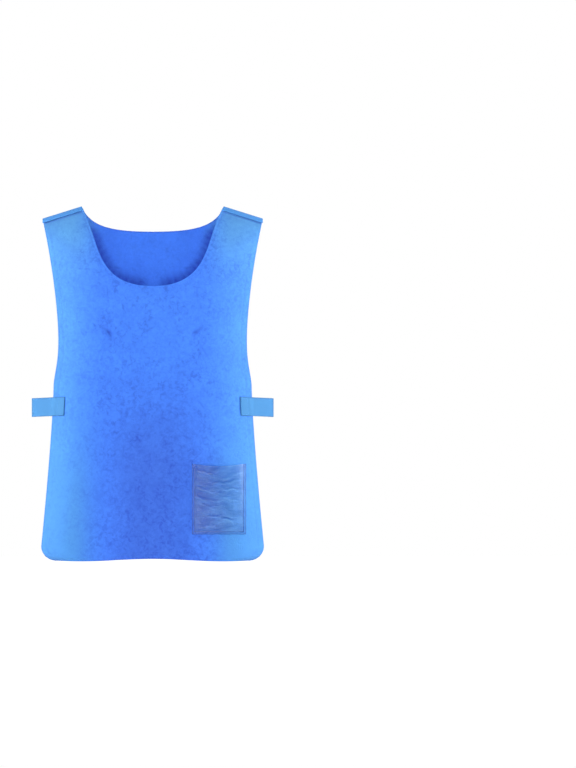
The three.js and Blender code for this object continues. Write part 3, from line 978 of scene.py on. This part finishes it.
def grain_group():
    """Height of the pores and nap, a mask of paler patches, and one of painted shade in small hollows."""
    tree, _, out = group("chamois_grain", {}, ["Height", "Mottle", "Spots"])
    place = coords(tree, "Object")
    fine = noise(tree, place, 900.0, 4.0, 0.6)
    mid = noise(tree, place, 260.0, 3.0, 0.6)
    patches = weighed(tree, noise(tree, place, 170.0, 4.0, 0.75), noise(tree, place, 24.0), 0.6)
    seats = remap(tree, noise(tree, place, 30.0, 2.0), 0.4, 0.6, 0.45, 1.0)
    spots = remap(tree, noise(tree, place, 140.0, 3.0, 0.55, 0.7), 0.57, 0.34)
    feed_all(tree, out, {
        "Height": weighed(tree, fine, mid, 0.5),
        "Mottle": remap(tree, patches, 0.36, 0.64),
        "Spots": times(tree, spots, seats),
    })
    return tree


def weave_group():
    """Height of a fine plain weave, from the UV map in metres."""
    tree, given, out = group("fine_weave", {"Pitch": 0.0009}, ["Height"])
    place = parted(tree, coords(tree, "UV"))
    waves = []
    for axis in ("X", "Y"):
        turns = maths(tree, "DIVIDE", place[axis], given.outputs["Pitch"])
        waves.append(maths(tree, "SINE", times(tree, turns, 6.28318)))
    weave = times(tree, *waves)
    feed(tree, out.inputs["Height"], remap(tree, weave, -1.0, 1.0))
    return tree


def crumple_group():
    """Fine, broken crease lines: where a noise crosses its middle value."""
    tree, _, out = group("crumple", {}, ["Lines"])
    place = coords(tree, "Object")
    parts = []
    for scale, wide, seat, full in ((46.0, 0.035, 33.0, 1.0), (95.0, 0.05, 60.0, 0.8)):
        off = maths(tree, "SUBTRACT", noise(tree, place, scale, 2.0, 0.6, 1.3), 0.5)
        line = remap(tree, maths(tree, "ABSOLUTE", off), 0.0, wide, 1.0, 0.0)
        here = remap(tree, noise(tree, place, seat, 1.0), 0.47, 0.6, 0.0, full)
        parts.append(times(tree, line, here))
    feed(tree, out.inputs["Lines"], maths(tree, "MAXIMUM", *parts))
    return tree


GRAIN, WEAVE, CRUMPLE = grain_group(), weave_group(), crumple_group()


def use(tree, made, **given):
    """The outputs of a shared group, with the given inputs."""
    n = tree.nodes.new("ShaderNodeGroup")
    n.node_tree = made
    feed_all(tree, n, given)
    return n.outputs


def colour_mix(tree, factor, a, b):
    n = tree.nodes.new("ShaderNodeMix")
    n.data_type = "RGBA"
    feed(tree, n.inputs["Factor"], factor)
    for key, value in (("A", a), ("B", b)):
        feed(tree, next(i for i in n.inputs if i.name == key and i.type == "RGBA"), value)
    return next(o for o in n.outputs if o.type == "RGBA")


def bump(tree, height, strength, distance):
    n = tree.nodes.new("ShaderNodeBump")
    feed_all(tree, n, {"Height": height, "Strength": strength, "Distance": distance})
    return n.outputs["Normal"]


def material(name, roughness):
    mat = bpy.data.materials.new(name)
    mat.use_nodes = True
    shader = mat.node_tree.nodes["Principled BSDF"]
    shader.inputs["Roughness"].default_value = roughness
    return mat, mat.node_tree, shader


def painted_light_masks(tree):
    """Masks of painted light at the sides and on the tops of the shoulders, of painted shade low in
    the middle, and of how creased the cloth is: most on the front's middle."""
    place = parted(tree, coords(tree, "Object"))
    off_middle, height = maths(tree, "ABSOLUTE", place["X"]), place["Z"]
    # Painted light: the sides are paler where the cloth turns towards the side lights, most low down.
    sides = soft_step(tree, off_middle, 0.075, 0.15)
    low = soft_step(tree, height, -0.26, -0.56)
    pale = times(tree, sides, remap(tree, low, 0.0, 1.0, 0.4, 1.0))
    # Painted light on the tops of the shoulders, which face the light from above.
    shoulders = soft_step(tree, height, -0.17, -0.03)
    shoulders = times(tree, shoulders, soft_step(tree, off_middle, 0.08, 0.15))
    # Painted shade low in the middle, where less light reaches.
    middle = soft_step(tree, off_middle, 0.15, 0.01)
    shaded_low_middle = times(tree, middle, soft_step(tree, height, -0.25, -0.49))
    behind = soft_step(tree, place["Y"], -0.01, 0.02)
    smoother = maths(tree, "MAXIMUM", maths(tree, "MAXIMUM", pale, shoulders), behind)
    creased = remap(tree, smoother, 0.0, 1.0, 1.0, 0.35)
    creased = maths(tree, "ADD", creased, times(tree, shaded_low_middle, 0.35))
    return pale, shoulders, shaded_low_middle, creased


def chamois():
    """The panels' cloth: painted light and shade, then mottles, then painted shade in hollows, creases and
    the marks.
    """
    mat, tree, shader = material("chamois_cloth", 0.85)
    grain, crumple = use(tree, GRAIN), use(tree, CRUMPLE)
    pale, shoulders, shaded_low_middle, creased = painted_light_masks(tree)
    # The base blue with painted light, paler at the sides and on the shoulders, and painted shade low in
    # the middle.
    colour_with_painted_light = colour_mix(tree, pale, (0.053, 0.212, 0.86), (0.06, 0.241, 0.585))
    colour_with_painted_light = colour_mix(tree, shoulders, colour_with_painted_light, (0.082, 0.288, 0.6))
    colour_with_painted_light = colour_mix(tree, shaded_low_middle, colour_with_painted_light, (0.043, 0.138, 0.61))
    mottle = remap(tree, grain["Mottle"], 0.0, 1.0, 0.25, 0.0)
    mottle = times(tree, mottle, remap(tree, pale, 0.4, 1.0, 1.0, 0.6))
    mottle = times(tree, mottle, remap(tree, shaded_low_middle, 0.0, 1.0, 1.0, 1.4))
    # Painted shade in small hollows and along the fine crease lines, most where the cloth is most creased.
    spots = times(tree, grain["Spots"], 0.42)
    lines = times(tree, crumple["Lines"], 0.22)
    rough = times(tree, maths(tree, "MAXIMUM", spots, lines), creased)
    # Painted shade from the marks on the mesh: edges, puckers, creases, and shadows under the band and
    # inside the back.
    deep = remap(tree, mark(tree, "dents"), 0.02, 1.55, 0.0, 0.8)
    # Darker by the mottle, which is the cloth's own, and by the painted shade.
    dark = maths(tree, "ADD", mottle, maths(tree, "MAXIMUM", rough, deep))
    folded = maths(tree, "SUBTRACT", grain["Height"], crumple["Lines"])
    feed_all(tree, shader, {
        "Base Color": colour_mix(tree, dark, colour_with_painted_light, (0.018, 0.062, 0.44)),
        "Roughness": remap(tree, grain["Height"], 0.3, 0.7, 0.78, 0.95),
        "Normal": bump(tree, folded, 0.3, 0.0007),
        "Specular IOR Level": 0.25,
        "Sheen Weight": 0.12,
        "Sheen Roughness": 0.5,
        "Sheen Tint": (0.3, 0.55, 1.0),
    })
    return mat


def woven(name, light, dark, pitch):
    """The bands' and the straps' cloth, with painted shade where the mesh marks it."""
    mat, tree, shader = material(name, 0.7)
    weave, grain = use(tree, WEAVE, Pitch=pitch), use(tree, GRAIN)
    tone = weighed(tree, weave["Height"], grain["Mottle"], 0.5)
    # Painted shade at the marked edges and fold.
    rim = remap(tree, mark(tree, "rims"), 0.0, 1.0, 0.0, 0.5)
    cloth = colour_mix(tree, tone, dark, light)
    feed_all(tree, shader, {
        "Base Color": colour_mix(tree, rim, cloth, (0.02, 0.09, 0.23)),
        "Roughness": remap(tree, weave["Height"], 0.0, 1.0, 0.65, 0.85),
        "Normal": bump(tree, weave["Height"], 0.12, 0.0002),
        "Specular IOR Level": 0.3,
    })
    return mat


def stretched(tree):
    """The UV map at a scale that draws a noise out across the pocket."""
    n = tree.nodes.new("ShaderNodeMapping")
    n.inputs["Scale"].default_value = (35.0, 75.0, 1.0)
    tree.links.new(coords(tree, "UV"), n.inputs["Vector"])
    return n.outputs["Vector"]


def film():
    """Clear film, darker towards the vest's middle and in clouds, darker at its seams, and with painted
    shade in its creases.
    """
    mat, tree, shader = material("pocket_film", 0.3)
    grain = use(tree, GRAIN)
    outwards = remap(tree, parted(tree, coords(tree, "UV"))["X"], 0.02, 0.085, 0.55, 0.0)
    clouds = remap(tree, noise(tree, stretched(tree), 1.0), 0.3, 0.7, -0.1, 0.5)
    # Darker at the seams, and painted shade in the grooves.
    dents = remap(tree, mark(tree, "dents"), -0.6, 0.9, -0.45, 0.8)
    deep = maths(tree, "ADD", maths(tree, "ADD", outwards, clouds), dents)
    feed_all(tree, shader, {
        "Base Color": colour_mix(tree, deep, (0.135, 0.35, 0.74), (0.014, 0.07, 0.36)),
        "Roughness": remap(tree, grain["Mottle"], 0.0, 1.0, 0.24, 0.4),
        "Normal": bump(tree, grain["Height"], 0.15, 0.0004),
        "Alpha": mark(tree, "cover"),
    })
    return mat


def thread(name, light, dark):
    """Thread with the fine light and shade of its fibres."""
    mat, tree, shader = material(name, 0.6)
    tone = remap(tree, noise(tree, coords(tree, "Object"), 1500.0, 2.0), 0.35, 0.65)
    feed_all(tree, shader, {
        "Base Color": colour_mix(tree, tone, dark, light),
        "Normal": bump(tree, tone, 0.3, 0.0001),
        "Specular IOR Level": 0.25,
    })
    return mat


BAND = woven("band_weave", (0.075, 0.29, 0.72), (0.068, 0.27, 0.68), 0.0008)
STRAP = woven("strap_weave", (0.042, 0.19, 0.43), (0.039, 0.178, 0.405), 0.0008)
BLUE = thread("blue_thread", (0.06, 0.2, 0.72), (0.04, 0.13, 0.55))
LIGHT = thread("light_thread", (0.075, 0.285, 0.71), (0.063, 0.25, 0.65))
DARK = thread("dark_thread", (0.035, 0.11, 0.4), (0.02, 0.07, 0.28))
LOOKS = [
    (chamois(), [front, back]),
    (BAND, bands),
    (STRAP, straps),
    (film(), [pocket]),
    (BLUE, [hem_stitches, neck_stitches]),
    (LIGHT, [band_stitches, strap_stitches]),
    (DARK, [pocket_stitches]),
]
for look, pieces in LOOKS:
    for piece in pieces:
        piece.data.materials.clear()
        piece.data.materials.append(look)

# %% [markdown]
# ## Room, light and camera
#
# The vest hangs in an even white room. Two tall soft lights stand at its sides, so that the
# parts that turn back are the lightest, as in the photograph. A weaker one in front and one
# behind fill the shadows. The camera is far off with a long lens, and looks level past the
# vest's left side, because the vest stands left of the picture's middle. Its numbers are the
# photograph's: its size and the place of the vest's origin in pixels, and a pixel in metres.

# %% Room, light and camera
FLOOR_HALF, FLOOR_HEIGHT, ROOM_LIGHT = 15.0, -0.75, 0.15
corners = [(x * FLOOR_HALF, y * FLOOR_HALF, FLOOR_HEIGHT) for x, y in ((-1, -1), (1, -1), (1, 1), (-1, 1))]
floor_mesh = bpy.data.meshes.new("floor")
floor_mesh.from_pydata(corners, [], [(0, 1, 2, 3)])
floor = placed("floor", floor_mesh)
mat, tree, shader = material("pale_floor", 0.9)
shade = noise(tree, coords(tree, "Object"), 3.0)
feed_all(tree, shader, {
    "Base Color": colour_mix(tree, shade, (0.9, 0.9, 0.9), (0.93, 0.93, 0.93)),
    "Emission Color": (1, 1, 1),
    "Emission Strength": tree.nodes.new("ShaderNodeLightPath").outputs["Is Camera Ray"],
})
floor.data.materials.append(mat)

world = bpy.data.worlds.new("white_room")
world.use_nodes = True
room = world.node_tree
seen = room.nodes.new("ShaderNodeLightPath").outputs["Is Camera Ray"]
feed_all(room, room.nodes["Background"], {
    "Color": (1, 1, 1),
    "Strength": remap(room, seen, 0.0, 1.0, ROOM_LIGHT, 1.0),
})
bpy.context.scene.world = world

SOFT_LIGHTS = [
    # name, place, target, width, height, power
    ("left_light", (-1.4, -0.25, 0.1), (-0.15, -0.05, -0.32), 0.6, 1.6, 31),
    ("right_light", (1.4, -0.25, 0.1), (0.15, -0.05, -0.32), 0.6, 1.6, 31),
    ("front_light", (0.0, -3.0, -0.05), (0.0, 0.0, -0.2), 1.2, 1.2, 46),
    ("back_light", (0.0, 3.0, 0.6), (0.0, 0.1, -0.3), 1.6, 1.6, 30),
]
for name, place, target, width, height, power in SOFT_LIGHTS:
    lamp = bpy.data.lights.new(name, "AREA")
    lamp.shape, lamp.size, lamp.size_y, lamp.energy = "RECTANGLE", width, height, power
    light = placed(name, lamp)
    light.location = place
    way = mathutils.Vector(target) - mathutils.Vector(place)
    light.rotation_euler = way.to_track_quat("-Z", "Y").to_euler()

PICTURE_WIDE, PICTURE_HIGH, ORIGIN_ACROSS, ORIGIN_DOWN, PIXEL = 576, 768, 152.4, 206.0, 0.0018
AWAY, SENSOR, FRONT_AT = 40.0, 36.0, -0.09
camera_data = bpy.data.cameras.new("camera")
camera_data.sensor_width = SENSOR
camera_data.lens = SENSOR * AWAY / (PICTURE_HIGH * PIXEL)
camera_data.clip_end = 100.0
camera = placed("camera", camera_data)
camera.location.x = (PICTURE_WIDE / 2 - ORIGIN_ACROSS) * PIXEL
camera.location.y = FRONT_AT - AWAY
camera.location.z = -(PICTURE_HIGH / 2 - ORIGIN_DOWN) * PIXEL
camera.rotation_euler = (np.pi / 2, 0, 0)
bpy.context.scene.camera = camera
bpy.context.scene.view_settings.view_transform = "Standard"
